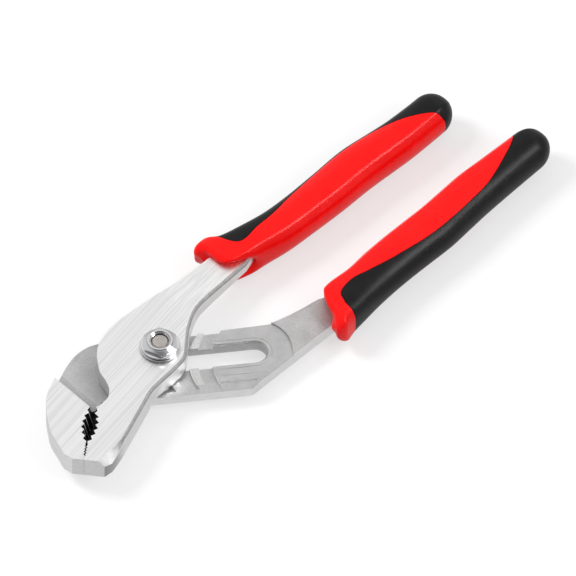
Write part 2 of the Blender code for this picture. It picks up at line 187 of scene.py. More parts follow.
def soften(piece, width, segments, test, finish=None, limit=True):
    """Bevels the picked edges, and gives the new faces a finish."""
    edit(piece)
    found = pick_edges(piece, test)
    if found:
        slot = -1 if finish is None else finish_slot(piece, finish)
        bpy.ops.mesh.bevel(offset=width, offset_type="OFFSET", segments=segments, profile=0.5,
                           affect="EDGES", clamp_overlap=limit, material=slot)
    close()
    print(piece.name, "softened", found, "edges by", round(1000 * width, 2), "mm")


def clean(piece):
    """Joins the flat areas of a mesh to single faces, and takes out edges too short to bevel."""
    edit(piece, "SELECT")
    bpy.ops.mesh.remove_doubles(threshold=merge_gap)
    bpy.ops.mesh.dissolve_limited(angle_limit=flat_turn)
    bpy.ops.mesh.dissolve_degenerate(threshold=shortest_edge)
    bpy.ops.mesh.delete_loose()
    close()
    print(piece.name, "has", len(piece.data.polygons), "faces after cleaning")


# %% [markdown]
# ### Paint and seat
# Faces are painted by their place and by the way they look: a wall's normal hardly rises, and
# that of a flat top rises nearly straight. A finished piece then takes its CAD node's seat.

# %% Helpers for paint and seats
hair = 0.0001
plumb_rise, wall_rise, steep_rise, flat_rise = 0.1, 0.3, 0.5, 0.9
lean_low, lean_high = 0.3, 0.75


def is_wall(normal, rise=wall_rise):
    """True for a face that stands upright."""
    return abs(normal.z) < rise


def is_flat(normal):
    """True for a face that lies flat and looks up."""
    return normal.z > flat_rise


def finish_slot(piece, finish):
    """The number of a finish on a piece, added if it is new there."""
    if finish.name not in piece.data.materials:
        piece.data.materials.append(finish)
    return piece.data.materials.find(finish.name)


def paint(piece, finish, test=None):
    """Gives a finish to the whole piece, or to the faces for which test(middle, normal) holds."""
    index = finish_slot(piece, finish)
    found = 0
    for face in piece.data.polygons:
        if test is None or test(face.center, face.normal):
            face.material_index = index
            found += 1
    print(piece.name, "has", finish.name, "on", found, "faces")


def paint_by(piece, rules):
    """Paints a piece by a list of finishes and tests. Each goes over the ones before it."""
    for finish, test in rules:
        paint(piece, finish, test)


def seat(piece, body, nodes):
    """Lets a finished piece ride on its CAD body in place of its CAD nodes."""
    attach(piece, body)
    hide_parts(*nodes)
    corners = [piece.matrix_world @ Vector(corner) for corner in piece.bound_box]
    reaches = [[corner[axis] for corner in corners] for axis in range(3)]
    size = [round(1000 * (max(reach) - min(reach)), 1) for reach in reaches]
    print(piece.name, "size in mm:", size, "faces:", len(piece.data.polygons))


# %% [markdown]
# ## Finishes
# Each finish is a node material. The pattern is laid in Object coordinates, in metres, so it
# keeps its real scale. Noise drives colour, roughness and bump together, as one real cause does.

# %% Helpers for nodes
def add_node(tree, kind, inputs=()):
    """A new node. Each input named is linked where a socket is given for it, or else set."""
    node = tree.nodes.new(kind)
    for place, value in dict(inputs).items():
        if isinstance(value, bpy.types.NodeSocket):
            tree.links.new(value, node.inputs[place])
        else:
            node.inputs[place].default_value = value
    return node


def reckon(tree, operation, first, second):
    """Two values, or a value and a number, added or multiplied."""
    node = add_node(tree, "ShaderNodeMath", {0: first, 1: second})
    node.operation = operation
    return node.outputs[0]


def span(tree, source, low, high, start=0.3, stop=0.7):
    """A node that maps a value onto a range of numbers."""
    return add_node(tree, "ShaderNodeMapRange", {
        "Value": source, "From Min": start, "From Max": stop, "To Min": low, "To Max": high})


# %% Helpers for patterns
def grey(value):
    """A grey as a colour."""
    return (value, value, value)


def noise(made, scale, stretch=(1, 1, 1), turned=0.0, detail=3.0, rough=0.5):
    """A noise pattern in metres, turned about the vertical and stretched."""
    tree = made.node_tree
    place = add_node(tree, "ShaderNodeTexCoord")
    first = add_node(tree, "ShaderNodeMapping", {
        "Vector": place.outputs["Object"], "Rotation": (0, 0, turned)})
    second = add_node(tree, "ShaderNodeMapping", {
        "Vector": first.outputs["Vector"], "Scale": [scale * part for part in stretch]})
    pattern = add_node(tree, "ShaderNodeTexNoise", {
        "Vector": second.outputs["Vector"], "Scale": 1.0, "Detail": detail, "Roughness": rough})
    return pattern.outputs["Fac"]


def mixed(made, first, second, share):
    """Blends two patterns."""
    return add_node(made.node_tree, "ShaderNodeMix", {"Factor": share, 2: first, 3: second}).outputs[0]


# %% Helpers for finishes
def new_finish(name, colour, roughness, metallic, specular=0.5):
    """A material with its shader, and the shader's own sockets set."""
    made = bpy.data.materials.new(name)
    made.use_nodes = True
    shader = made.node_tree.nodes["Principled BSDF"]
    shader.inputs["Base Color"].default_value = (*colour, 1)
    shader.inputs["Roughness"].default_value = roughness
    shader.inputs["Metallic"].default_value = metallic
    shader.inputs["Specular IOR Level"].default_value = specular
    print("Finish:", name)
    return made


def feed(made, source, name):
    """Links a pattern to a socket of the finish's shader."""
    made.node_tree.links.new(source, made.node_tree.nodes["Principled BSDF"].inputs[name])


def tone(made, pattern, stops):
    """Lets a pattern set the colour, between given stops, each a grey or a colour."""
    node = add_node(made.node_tree, "ShaderNodeValToRGB", {"Fac": pattern})
    for place, colour in stops[2:]:
        node.color_ramp.elements.new(place)
    for element, (place, colour) in zip(node.color_ramp.elements, stops):
        element.position = place
        element.color = (*(colour if isinstance(colour, tuple) else grey(colour)), 1)
    feed(made, node.outputs["Color"], "Base Color")


def sheen(made, pattern, low, high):
    """Lets a pattern set the roughness."""
    feed(made, span(made.node_tree, pattern, low, high).outputs["Result"], "Roughness")


def bump(made, pattern, height, strength):
    """Raises a pattern by a real height."""
    node = add_node(made.node_tree, "ShaderNodeBump", {
        "Height": pattern, "Distance": height, "Strength": strength})
    feed(made, node.outputs["Normal"], "Normal")


# %% [markdown]
# ### Brushed steel
# The plate arm and the face of the left jaw were ground on a belt, along the tool. The belt
# leaves scratches under a millimetre wide and some centimetres long. A noise pattern stretched
# along one direction draws them, lighter and darker, smoother and rougher.

# %% Brushed steel
brush_turn = math.radians(-10.8)
brushed = new_finish("steel_brushed", grey(0.86), 0.34, 1.0)
lines = noise(brushed, 1, (9, 1500, 900), brush_turn, 3.0, 0.6)
bands = noise(brushed, 1, (6, 330, 300), brush_turn, 2.0, 0.5)
marks = mixed(brushed, lines, bands, 0.25)
tone(brushed, marks, [(0.38, 0.79), (0.60, 0.97)])
sheen(brushed, marks, 0.42, 0.32)
bump(brushed, lines, 0.00002, 0.35)

# %% [markdown]
# ### Blasted steel
# The slotted arm is left as it comes from the blasting cabinet: an even, fine grain with no
# direction. Fine noise gives the grain, and wide noise gives faint clouds. The tops of the ribs
# have been rubbed bright by the sliding plate: a paler steel with a coarser grain.

# %% Blasted and rubbed steel
blasted = new_finish("steel_blasted", grey(0.63), 0.55, 1.0)
grain = noise(blasted, 3400, detail=2.0)
clouds = noise(blasted, 160, detail=2.0)
tone(blasted, mixed(blasted, clouds, grain, 0.75), [(0.35, 0.44), (0.65, 0.68)])
sheen(blasted, grain, 0.50, 0.66)
bump(blasted, grain, 0.00005, 0.5)

rubbed = new_finish("steel_rubbed", grey(0.80), 0.5, 1.0)
grain = noise(rubbed, 1900, rough=0.6)
tone(rubbed, grain, [(0.35, 0.58), (0.65, 0.80)])
sheen(rubbed, grain, 0.42, 0.60)
bump(rubbed, grain, 0.00008, 0.6)

# %% [markdown]
# ### Ground and filed steel
# The cut sides of both arms are ground smooth and pale. The small faces at the very tip of the
# jaws were finished with a file, and are a shade darker.

# %% Ground and filed steel
ground = new_finish("steel_ground", grey(0.84), 0.38, 1.0)
marks = noise(ground, 900, (0.3, 0.3, 1))
tone(ground, marks, [(0.3, 0.80), (0.7, 0.90)])
sheen(ground, marks, 0.33, 0.45)
bump(ground, marks, 0.00002, 0.3)

filed = new_finish("steel_filed", grey(0.72), 0.45, 1.0)
marks = noise(filed, 900)
tone(filed, marks, [(0.35, 0.68), (0.65, 0.76)])
sheen(filed, marks, 0.42, 0.5)

# %% [markdown]
# ### Skin, and worn rims with painted highlight
# The rounded edges keep the dark, dull skin of the forging, and the low raised edges of the
# slotted arm are worn pale. The same pale grey paints the highlight on thin walls beside them. On
# such thin lines a mirror of the room would flicker from dark to bright, so both are mostly plain
# grey with little metal, and keep their tone in any light.

# %% Skin, and worn rims with painted highlight
skin_steel = new_finish("steel_skin", grey(0.50), 0.55, 0.15, 0.2)
grain = noise(skin_steel, 900, detail=4.0)
tone(skin_steel, grain, [(0.3, 0.33), (0.7, 0.43)])
bump(skin_steel, grain, 0.00004, 0.4)

# Pale grey for worn rims, and for painted highlight on thin walls.
rim_wear_and_highlight = new_finish("steel_rim_wear_and_highlight", grey(0.90), 0.5, 0.1, 0.2)
tone(rim_wear_and_highlight, noise(rim_wear_and_highlight, 1200), [(0.3, 0.80), (0.7, 0.96)])

# %% [markdown]
# ### Polished and raw steel
# The bolt, washer and nut are polished: nearly a mirror, with a faint waviness. The end of the
# bolt is raw, cut steel, browner and rough.

# %% Polished and raw steel
polished = new_finish("steel_polished", (0.70, 0.70, 0.71), 0.12, 1.0)
sheen(polished, noise(polished, 1200), 0.07, 0.14)
bump(polished, noise(polished, 500, detail=1.0), 0.00002, 0.2)

raw = new_finish("steel_raw", (0.50, 0.47, 0.44), 0.6, 0.6)
grain = noise(raw, 2200, detail=4.0)
tone(raw, grain, [(0.3, (0.34, 0.31, 0.29)), (0.7, (0.56, 0.53, 0.50))])
bump(raw, grain, 0.00012, 0.6)

# %% [markdown]
# ### Painted shade and painted light of the bite
# The shade deep in the mouth is painted black on the bite of the jaws, and the crests of its teeth
# are pale grey: worn steel, with the light they catch painted in. Both are plain colours, because
# bare metal deep in the mouth would mirror the bright room.

# %% Painted shade and painted light of the bite
# Painted shade: black for the inside of the mouth, the groove of the bite and the gap in the nut.
painted_shade = new_finish("steel_painted_shade", (0.010, 0.010, 0.011), 0.5, 0.0, 0.2)
tone(painted_shade, noise(painted_shade, 1500), [(0.3, 0.003), (0.7, 0.012)])

# Painted light: the worn crests of the teeth are pale grey for the light they catch.
worn_crest_painted_light = new_finish("steel_crest_painted_light", grey(0.90), 0.6, 0.0)
tone(worn_crest_painted_light, noise(worn_crest_painted_light, 1500), [(0.3, 0.60), (0.7, 0.85)])

# %% [markdown]
# ### Painted reflection on the bevel, painted shade on the side of the right jaw
# The bevel beside the tip is hollow ground, and its curve mirrors the room unevenly. That reflection
# is painted into its tone: brightest near the tip, and darker toward the nut. The side below it has
# painted shade that fades the other way. Both fade along the tool's length, with a little grain over it.

# %% Steel with painted reflection and shade along the tool
fade_blur = 0.0012


def fading(name, roughness, stops):
    """Steel whose tone, with light and shade painted in, changes along the tool: x in millimetres and grey
    at each stop.
    """
    made = new_finish(name, grey(0.6), roughness, 1.0)
    tree = made.node_tree
    place = add_node(tree, "ShaderNodeTexCoord")
    parts = add_node(tree, "ShaderNodeSeparateXYZ", {"Vector": place.outputs["Object"]})
    blur = span(tree, noise(made, 500), -fade_blur, fade_blur).outputs["Result"]
    shifted = reckon(tree, "ADD", parts.outputs["X"], blur)
    start, stop = stops[0][0], stops[-1][0]
    along = span(tree, shifted, 0.0, 1.0, start / 1000, stop / 1000).outputs["Result"]
    tone(made, along, [((x - start) / (stop - start), value) for x, value in stops])
    return made


# Painted reflection on the big bevel, and painted shade on the side of the jaw below it.
bevel_painted_reflection = fading("steel_bevel_painted_reflection", 0.38, [
    (-61, 0.46), (-57, 0.66), (-52.5, 0.88), (-49, 0.70), (-46, 0.42), (-41, 0.22)])
jaw_side_painted_shade = fading("steel_jaw_side_painted_shade", 0.5, [
    (-61, 0.34), (-56, 0.38), (-50, 0.50), (-44, 0.80), (-40, 0.86)])

# %% [markdown]
# ### Red plastic and black rubber
# The red sleeve is a smooth, slightly soft plastic with a satin shine and a faint orange-peel.
# The black cover is a softer rubber with a finer, duller skin, which shows as a grey sheen.

# %% Red plastic and black rubber
red = new_finish("plastic_red", (0.95, 0.004, 0.003), 0.30, 0.0, 0.25)
peel = noise(red, 900, detail=2.0)
tone(red, noise(red, 120, detail=2.0), [(0.3, (0.92, 0.002, 0.002)), (0.7, (0.98, 0.005, 0.004))])
sheen(red, peel, 0.27, 0.34)
bump(red, peel, 0.00002, 0.15)

black = new_finish("rubber_black", (0.006, 0.006, 0.007), 0.40, 0.0, 0.17)
skin = noise(black, 3200, detail=2.0)
tone(black, noise(black, 200), [(0.3, (0.004, 0.004, 0.004)), (0.7, (0.008, 0.008, 0.009))])
sheen(black, skin, 0.32, 0.41)
bump(black, skin, 0.00007, 0.5)

# %% [markdown]
# ## Arms
# Both arms are flat forgings, and the CAD already has their outline, slot, grooves and teeth.
# What it lacks is the softness of real edges. A merged copy of the CAD mesh is carved first,
# while it is in triangles, then its flat areas are dissolved to single faces and its edges are
# bevelled: wide where the grinder has rounded them, narrow where the tool is sharp.

# %% Copy a CAD node, and draw an upright cutter
def merged_copy(node, name):
    """A copy of a CAD node's mesh, its points merged, still in triangles for the Booleans."""
    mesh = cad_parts[node].data.copy()
    mesh.name = name
    mesh.materials.clear()
    piece = bpy.data.objects.new(name, mesh)
    bpy.context.scene.collection.objects.link(piece)
    edit(piece, "SELECT")
    bpy.ops.mesh.remove_doubles(threshold=merge_gap)
    bpy.ops.mesh.customdata_custom_splitnormals_clear()
    close()
    print(name, "starts with", len(mesh.polygons), "faces")
    return piece


def upright(name, outline, low, high):
    """An upright solid with a given outline, from a low to a high level."""
    points = [(point[0], point[1], low) for point in outline]
    piece = draft(name, points, [], [list(range(len(points)))])
    bpy.ops.mesh.extrude_region_move(TRANSFORM_OT_translate={"value": (0, 0, high - low)})
    close_outward()
    return piece


# %% [markdown]
# ### Mouth
# The teeth are cut at a slant, so in a view from above their crests run down through the mouth
# as grey lines on black. The lower edge of each toothed wall is therefore pushed to one side.
# Both jaws share these forms, so they are measured in a frame of the mouth's own: along it from
# its inner end to the tip, and across it to the left.

# %% Frame of the mouth
plate_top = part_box("plate_arm")[1].z
jaw_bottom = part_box("plate_arm")[0].z
mouth_along = towards(218.6, 0)
mouth_left = Vector((mouth_along.y, -mouth_along.x, 0))
mouth_start = Vector((-0.04067, -0.00350, 0))
mouth_length = 0.0204
edges_start, edges_stop = -0.0015, 0.030
jaw_reach, walls_reach, teeth_reach = 0.0075, 0.0062, 0.0052
bite_reach, bite_gap = 0.0003, 0.00004
slant = Vector((0.72, -0.69, 0)) * 0.0020
slant_start, slant_run_out = 0.0005, 0.001


def mouth_point(along, across):
    """The place of a point that is given in the mouth's frame."""
    return mouth_start + mouth_along * along + mouth_left * across


def in_mouth_frame(point):
    """How far a point is along the mouth, and how far to its left."""
    place = point - mouth_start
    return place.dot(mouth_along), place.dot(mouth_left)


def in_mouth(point, reach=walls_reach):
    """True near the biting edges."""
    along, across = in_mouth_frame(point)
    return edges_start < along < edges_stop and abs(across) < reach


def slant_teeth(piece):
    """Pushes the lower edge of the toothed wall sideways, and closes the bite at the tip."""
    moved = 0
    for vertex in piece.data.vertices:
        if not in_mouth(vertex.co, teeth_reach):
            continue
        along, across = in_mouth_frame(vertex.co)
        if along > mouth_length - hair and abs(across) < bite_reach:
            vertex.co += mouth_left * (math.copysign(bite_gap, across) - across)
        if vertex.co.z < jaw_bottom + hair and slant_start < along < mouth_length + slant_run_out:
            vertex.co += slant
            moved += 1
    print(piece.name, "has", moved, "slanted tooth ends")


# %% [markdown]
# ### Bite and web
# From the mouth to the tip the jaws meet in a fine zigzag, which is carved into both as one
# narrow groove. A thin dark web at the foot of the left jaw's teeth stands for the shade deep in
# the mouth: it closes the view down through the mouth, so that no white table shines through it.

# %% Bite and web
bite_points, bite_lead, bite_step = 9, 0.0010, 0.00068
bite_swing, bite_half, bite_depth = 0.00032, 0.00034, 0.0016
bite_overrun = 0.002
web_low, web_top = jaw_bottom + 0.0001, jaw_bottom + 0.0007
# place along the mouth, reach to the left, reach to the right
web_stations = [
    (-0.0062, 0.0030, -0.0020), (-0.0012, 0.0034, -0.0024), (0.0030, 0.0040, -0.0036),
    (0.0070, 0.0050, -0.0044), (0.0110, 0.0050, -0.0046), (0.0150, 0.0040, -0.0036),
    (0.0190, 0.0020, -0.0012),
]


def bite_groove():
    """A zigzag strip that cuts a shallow groove along the line of the bite."""
    line = []
    for step in range(bite_points):
        side = 1 if step % 2 else -1
        line.append(mouth_point(mouth_length - bite_lead + step * bite_step, side * bite_swing))
    outline = [point + mouth_left * bite_half for point in line]
    outline += [point - mouth_left * bite_half for point in line[::-1]]
    return upright("bite_groove", outline, plate_top - bite_depth, plate_top + bite_overrun)


def mouth_shade_web():
    """The thin web at the foot of the left jaw's teeth, which takes the mouth's painted shade."""
    outline = [mouth_point(along, left) for along, left, right in web_stations]
    outline += [mouth_point(along, right) for along, left, right in web_stations[::-1]]
    return upright("mouth_shade_web", outline, web_low, web_top)


print("The bite has", bite_points, "turns, and the web", len(web_stations), "stations")

# %% [markdown]
# ### Painted shade of the mouth
# The shade inside the mouth is painted black on every face that shows there: the toothed walls,
# the web, the wall at the mouth's inner end and the groove of the bite. The crests are bevelled
# pale later on, with painted light.

# %% Paint the shade of the mouth
crest_rise = 0.4
walls_run_out, groove_run_out = 0.0002, 0.0055
web_reach, groove_reach, groove_low = 0.0045, 0.0013, 0.0018
end_start, end_stop, end_look = -0.0075, 0.001, -0.5
crest_start, crest_drop = 0.001, 0.003


def toothed_wall(middle, normal):
    """True on the walls that carry the teeth."""
    return (in_mouth(middle) and is_wall(normal, steep_rise)
            and in_mouth_frame(middle)[0] < mouth_length + walls_run_out)


def top_of_web(middle, normal):
    """True on the top of the web."""
    return in_mouth(middle, web_reach) and abs(middle.z - web_top) < hair


def end_wall(middle, normal):
    """True on the wall at the inner end of the mouth."""
    along, across = in_mouth_frame(middle)
    return (end_start < along < end_stop and abs(across) < web_reach
            and is_wall(normal, steep_rise) and normal.y < end_look)


def inside_groove(middle, normal):
    """True inside the groove of the bite."""
    return (in_mouth(middle, groove_reach) and plate_top - groove_low < middle.z < plate_top - hair
            and in_mouth_frame(middle)[0] < mouth_length + groove_run_out)


def paint_mouth_shade(piece):
    """Paints the shade, as black, on all that shows inside the mouth."""
    for test in (toothed_wall, top_of_web, end_wall, inside_groove):
        paint(piece, painted_shade, test)


def tooth_crest(middle, a, b):
    """True on the crests of the teeth, which run from the top of the jaw to its underside."""
    return (in_mouth(middle, teeth_reach) and is_wall(a, crest_rise) and is_wall(b, crest_rise)
            and middle.z < plate_top - crest_drop
            and crest_start < in_mouth_frame(middle)[0] < mouth_length)


# %% [markdown]
# ### Plate arm
# The outer arm has a wide rounded edge along its near side, where the skin of the forging shows
# as a grey band under the brushed face, and a narrow one on the far side. The big bevel beside
# the tip is ground, with a bright reflection painted on it, and the side below it has painted shade.
# A bent line along the middle of the arm tells near from far.

# %% Places on the plate arm
top_edge_low, hole_reach = 0.0125, 0.0045
bend_x = -0.02
jaw_line_x, jaw_line_y, jaw_slope = -0.04, -0.0105, 0.23
arm_line_y, arm_slope = -0.002, 0.30
tip_x, jaw_x, facet_x = -0.0562, -0.036, -0.030
bevel_y, jaw_side_y = -0.012, -0.0165
tip_look, side_look = -0.35, -0.6
band_stop = 0.064


def near_side(point):
    """True on the side of the plate arm that faces the other handle."""
    if point.x < bend_x:
        return point.y < jaw_line_y + jaw_slope * (point.x - jaw_line_x)
    return point.y < arm_slope * point.x + arm_line_y


def top_edge(middle, a, b):
    """True on the rim of the top face, away from the bolt hole and the teeth."""
    return (max(a.z, b.z) > flat_rise and min(a.z, b.z) < wall_rise and middle.z > top_edge_low
            and middle.xy.length > hole_reach and not in_mouth(middle))


def near_edge(middle, a, b):
    """True on the near rim of the top face, from the jaw to the grip."""
    return top_edge(middle, a, b) and near_side(middle) and jaw_x < middle.x < band_stop


def facet_edge(middle, a, b):
    """True where the big bevel beside the tip meets the side of the jaw."""
    return (middle.x < facet_x and middle.y < bevel_y and lean_low < max(a.z, b.z) < lean_high
            and abs(min(a.z, b.z)) < plumb_rise)


# %% Plate arm
crest_width, near_width, far_width, facet_width = 0.0007, 0.0012, 0.00030, 0.00050
plate = merged_copy("plate_arm", "plate_arm_forging")
slant_teeth(plate)
carve(plate, bite_groove())
clean(plate)
paint_by(plate, [
    (brushed, None),
    (ground, lambda middle, normal: not is_flat(normal)),
    (filed, lambda middle, normal: is_wall(normal) and middle.x < tip_x and normal.x < tip_look),
    # Painted shade on the side of the right jaw, and painted reflection on its big bevel.
    (jaw_side_painted_shade, lambda middle, normal: is_wall(normal) and middle.x < jaw_x and middle.y < jaw_side_y
     and normal.y < side_look and normal.x > tip_look),
    (bevel_painted_reflection, lambda middle, normal: lean_low < normal.z < lean_high and middle.x < jaw_x
     and middle.y < bevel_y),
])
# Painted shade inside the mouth.
paint_mouth_shade(plate)
# The crests of the teeth: worn, with painted light.
soften(plate, crest_width, 1, tooth_crest, worn_crest_painted_light)
soften(plate, near_width, 3, near_edge, skin_steel, False)
soften(plate, far_width, 2, lambda middle, a, b: top_edge(middle, a, b) and not near_side(middle), ground)
soften(plate, facet_width, 3, facet_edge, ground)
shade(plate, 28)
apply(plate, "WEIGHTED_NORMAL", keep_sharp=True)
seat(plate, "plate_half", ["plate_arm"])

# %% [markdown]
# ### Slotted arm
# The inner arm is blasted all over, but the left jaw at its end is level with the plate arm and
# was ground with it, so its top face takes the brushed finish. A raised bead runs round the
# slot, and a thin raised line runs beside it. Both follow the slot, so they are drawn in a frame
# of the slot's own: s along it from the bolt, and t across it.

# %% Beads of the slotted arm
slot_along = towards(-36.6, 0)
slot_across = Vector((-slot_along.y, slot_along.x, 0))
arm_top, recess_top, rib_top = 0.0093, 0.0085, 0.0078
slot_end, bead_start, bead_arc_steps = 0.0385, 0.0225, 20
bead_foot, bead_rise = recess_top - 0.0003, recess_top + 0.00018
bead_section = ((0.0069, bead_foot), (0.0070, bead_rise), (0.0073, bead_rise), (0.0074, bead_foot))
line_start, line_stop, line_near, line_far = 0.0235, 0.0425, -0.01075, -0.01035
line_foot, line_rise = recess_top - 0.0005, recess_top + 0.00022


def in_slot_frame(point):
    """How far a point is along the slot, and to which side."""
    return point.dot(slot_along), point.dot(slot_across)


def slot_bead():
    """A raised bead that follows the rim of the slot round its end."""
    turns = [math.pi * i / bead_arc_steps for i in range(bead_arc_steps + 1)]
    points = []
    for radius, height in bead_section:
        ring = [(bead_start, radius)]
        ring += [(slot_end + radius * math.sin(turn), radius * math.cos(turn)) for turn in turns]
        ring += [(bead_start, -radius)]
        points += [slot_along * s + slot_across * t + Vector((0, 0, height)) for s, t in ring]
    count = len(points) // 4
    starts = [ring * count for ring in range(4)]
    faces = [[start + i, start + i + 1, after + i + 1, after + i]
             for start, after in zip(starts, starts[1:] + starts[:1]) for i in range(count - 1)]
    faces += [starts, [start + count - 1 for start in starts[::-1]]]
    bead = draft("slot_bead", points, [], faces)
    close_outward()
    return bead


def ledge_bead():
    """A raised line between the slot and the ledge, from the last groove to the heel."""
    outline = [slot_along * s + slot_across * t for s, t in (
        (line_start, line_near), (line_stop, line_near), (line_stop, line_far), (line_start, line_far))]
    return upright("ledge_bead", outline, line_foot, line_rise)


# %% [markdown]
# ### Places on the slotted arm
# The ribs between the grooves are rubbed pale, and the walls of the grooves and of the ledge carry
# a painted highlight, as pale lines. The outer side that faces the camera is ground, with a wide
# dark rounding above it, and the jaw has its own ground sides.

# %% Places on the slotted arm
step_centre, step_radius, step_gap, neck_start = 0.038, 0.0160, 0.0004, 0.0535
heel_s, heel_t, jaw_neck_x = 0.045, -0.015, -0.040
grooves_low, grooves_high = rib_top - 0.0014, recess_top + 0.0003
grooves_start, grooves_stop, grooves_t = -0.012, 0.05, 0.0063
worn_low, worn_high, worn_start = rib_top - 0.0009, plate_top - 0.001, -0.012
raised_start, raised_stop, raised_rise = 0.022, 0.048, 0.7
ledge_foot_t, ribs_t = -0.0136, -0.0137
line_low, line_high = -0.0141, -0.0100
bead_low, bead_high = 0.0066, 0.0076


def on_step(point):
    """True on the low step that bounds the recess behind the slot, and on the neck beyond it."""
    s, t = in_slot_frame(point)
    off_step = abs(math.hypot(s - step_centre, t) - step_radius)
    return point.z > recess_top - hair and off_step < step_gap or s > neck_start


def near_wall(middle, normal):
    """True on the outer side that faces the camera, from the heel of the slot to the grip."""
    s, t = in_slot_frame(middle)
    beyond_heel = (t < heel_t or s > heel_s) and middle.x > jaw_neck_x
    return beyond_heel and is_wall(normal) and normal.y < -wall_rise


def groove_wall(middle, normal):
    """True on the walls of the grooves and of the ledge, outside the slot."""
    return (is_wall(normal, steep_rise) and grooves_low < middle.z < grooves_high
            and grooves_start < middle.x < grooves_stop and not near_wall(middle, normal)
            and abs(in_slot_frame(middle)[1]) > grooves_t)


def beside_slot(middle, normal, low, high):
    """True on raised faces beside the straight part of the slot, between two distances across it."""
    s, t = in_slot_frame(middle)
    raised = normal.z < raised_rise and middle.z > rib_top
    return raised and raised_start < s < raised_stop and low < t < high


def worn(middle, a, b):
    """True on the raised edges of the slotted arm's upper side."""
    if in_mouth(middle, jaw_reach) or in_slot_frame(middle)[0] < worn_start:
        return False
    return worn_low <= middle.z <= worn_high and max(a.z, b.z) > flat_rise and not on_step(middle)


# %% [markdown]
# ### Making the slotted arm
# The carved form is split along the foot of the ledge, so that the recess can differ from the
# ledge. Then it is painted, from the blasted whole to the painted shade of the mouth, and its edges are
# worn.

# %% Slotted arm: form
slotted = merged_copy("slotted_arm", "slotted_arm_forging")
slant_teeth(slotted)
carve(slotted, bite_groove())
for form in (mouth_shade_web, slot_bead, ledge_bead):
    carve(slotted, form(), "UNION")
clean(slotted)
edit(slotted, "SELECT")
bpy.ops.mesh.bisect(plane_co=slot_across * ledge_foot_t, plane_no=slot_across)
close()

# %% Slotted arm: paint
left_jaw_x, left_tip_x, left_tip_look, jaw_clear = -0.030, -0.058, -0.5, 0.0080
tilt_low, tilt_high = 0.02, 0.999
paint_by(slotted, [
    (blasted, None),
    (ground, lambda middle, normal: near_wall(middle, normal) and not in_mouth(middle, jaw_clear)),
    (ground, lambda middle, normal: is_wall(normal) and on_step(middle) and middle.z > recess_top),
    (rubbed, lambda middle, normal: steep_rise < normal.z < flat_rise and middle.x > bend_x),
    # Painted highlight: pale lines on the walls of the grooves and the ledge, and on the raised line.
    (rim_wear_and_highlight, groove_wall),
    (rim_wear_and_highlight, lambda middle, normal: beside_slot(middle, normal, line_low, line_high)),
    (ground, lambda middle, normal: beside_slot(middle, normal, bead_low, bead_high)),
    (ground, lambda middle, normal: beside_slot(middle, normal, -bead_high, -bead_low)),
    (skin_steel, lambda middle, normal: tilt_low < normal.z < tilt_high and middle.x < left_jaw_x
     and middle.z > arm_top),
    (ground, lambda middle, normal: is_wall(normal) and middle.x < left_jaw_x),
    (rubbed, lambda middle, normal: is_flat(normal) and abs(middle.z - rib_top) < hair
     and in_slot_frame(middle)[1] > ribs_t),
    (brushed, lambda middle, normal: is_flat(normal) and middle.z > plate_top - hair),
    (filed, lambda middle, normal: is_wall(normal) and middle.x < left_tip_x and normal.x < left_tip_look
     and normal.y < -wall_rise),
])
# Painted shade inside the mouth.
paint_mouth_shade(slotted)

# %% Slotted arm: edges
jaw_rim_width, worn_near_width, worn_width = 0.00035, 0.0009, 0.00022
# The crests of the teeth: worn, with painted light.
soften(slotted, crest_width, 1, tooth_crest, worn_crest_painted_light)
soften(slotted, jaw_rim_width, 2, lambda middle, a, b: middle.z > plate_top - hair / 2
       and min(a.z, b.z) < flat_rise and not in_mouth(middle), ground)
soften(slotted, worn_near_width, 2, lambda middle, a, b: worn(middle, a, b)
       and (near_wall(middle, a) or near_wall(middle, b)), skin_steel)
# The raised edges are worn pale, with painted highlight.
soften(slotted, worn_width, 2, worn, rim_wear_and_highlight)
shade(slotted, 28)
apply(slotted, "WEIGHTED_NORMAL", keep_sharp=True)
seat(slotted, "grooved_half", ["slotted_arm"])

# %% [markdown]
# ## Bolt, washer and nut
# Bolt, washer and nut are turned parts. A profile is drawn as a line of points and spun once
# round the bolt's axis, as on a lathe, and small arcs in the profile round its corners.

# %% Spin a profile
spin_steps = 64
spin_gap = 0.000005


def spun(name, profile):
    """A solid made by spinning radius and height points about the bolt's axis."""
    points = [(radius, 0, height) for radius, height in profile]
    piece = draft(name, points, [(i, i + 1) for i in range(len(points) - 1)], [])
    bpy.ops.mesh.spin(steps=spin_steps, angle=2 * math.pi, center=(0, 0, 0), axis=(0, 0, 1),
                      use_auto_merge=True)
    bpy.ops.mesh.select_all(action="SELECT")
    bpy.ops.mesh.remove_doubles(threshold=spin_gap)
    close_outward()
    return piece


def rounded(radius_at, height_at, radius, start, stop, steps):
    """Points on a small arc of a profile, its angles in degrees."""
    turns = [math.radians(start + (stop - start) * i / steps) for i in range(steps + 1)]
    return [(radius_at + radius * math.cos(turn), height_at + radius * math.sin(turn)) for turn in turns]


# %% [markdown]
# ### Washer
# The washer is a flat ring between the plate arm and the nut. Only its outer edge shows.

# %% Washer
washer_low, washer_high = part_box("nut_washer")
outer, low, high = washer_high.x, washer_low.z, washer_high.z
inner = 0.0037
edge = 0.00025
washer = spun("nut_washer_turned", [
    (inner, low), (outer - edge, low), *rounded(outer - edge, low + edge, edge, -90, 0, 3),
    *rounded(outer - edge, high - edge, edge, 0, 90, 3), (inner, high), (inner, low)])
paint(washer, polished)
shade(washer)
seat(washer, "pivot", ["nut_washer"])

# %% [markdown]
# ### Nut
# The nut is a spun flange and collar joined to a hexagon. The hexagon is a six-sided cylinder,
# and a spun cone takes its corners off at the top, which leaves the curved edges that every
# real nut has.

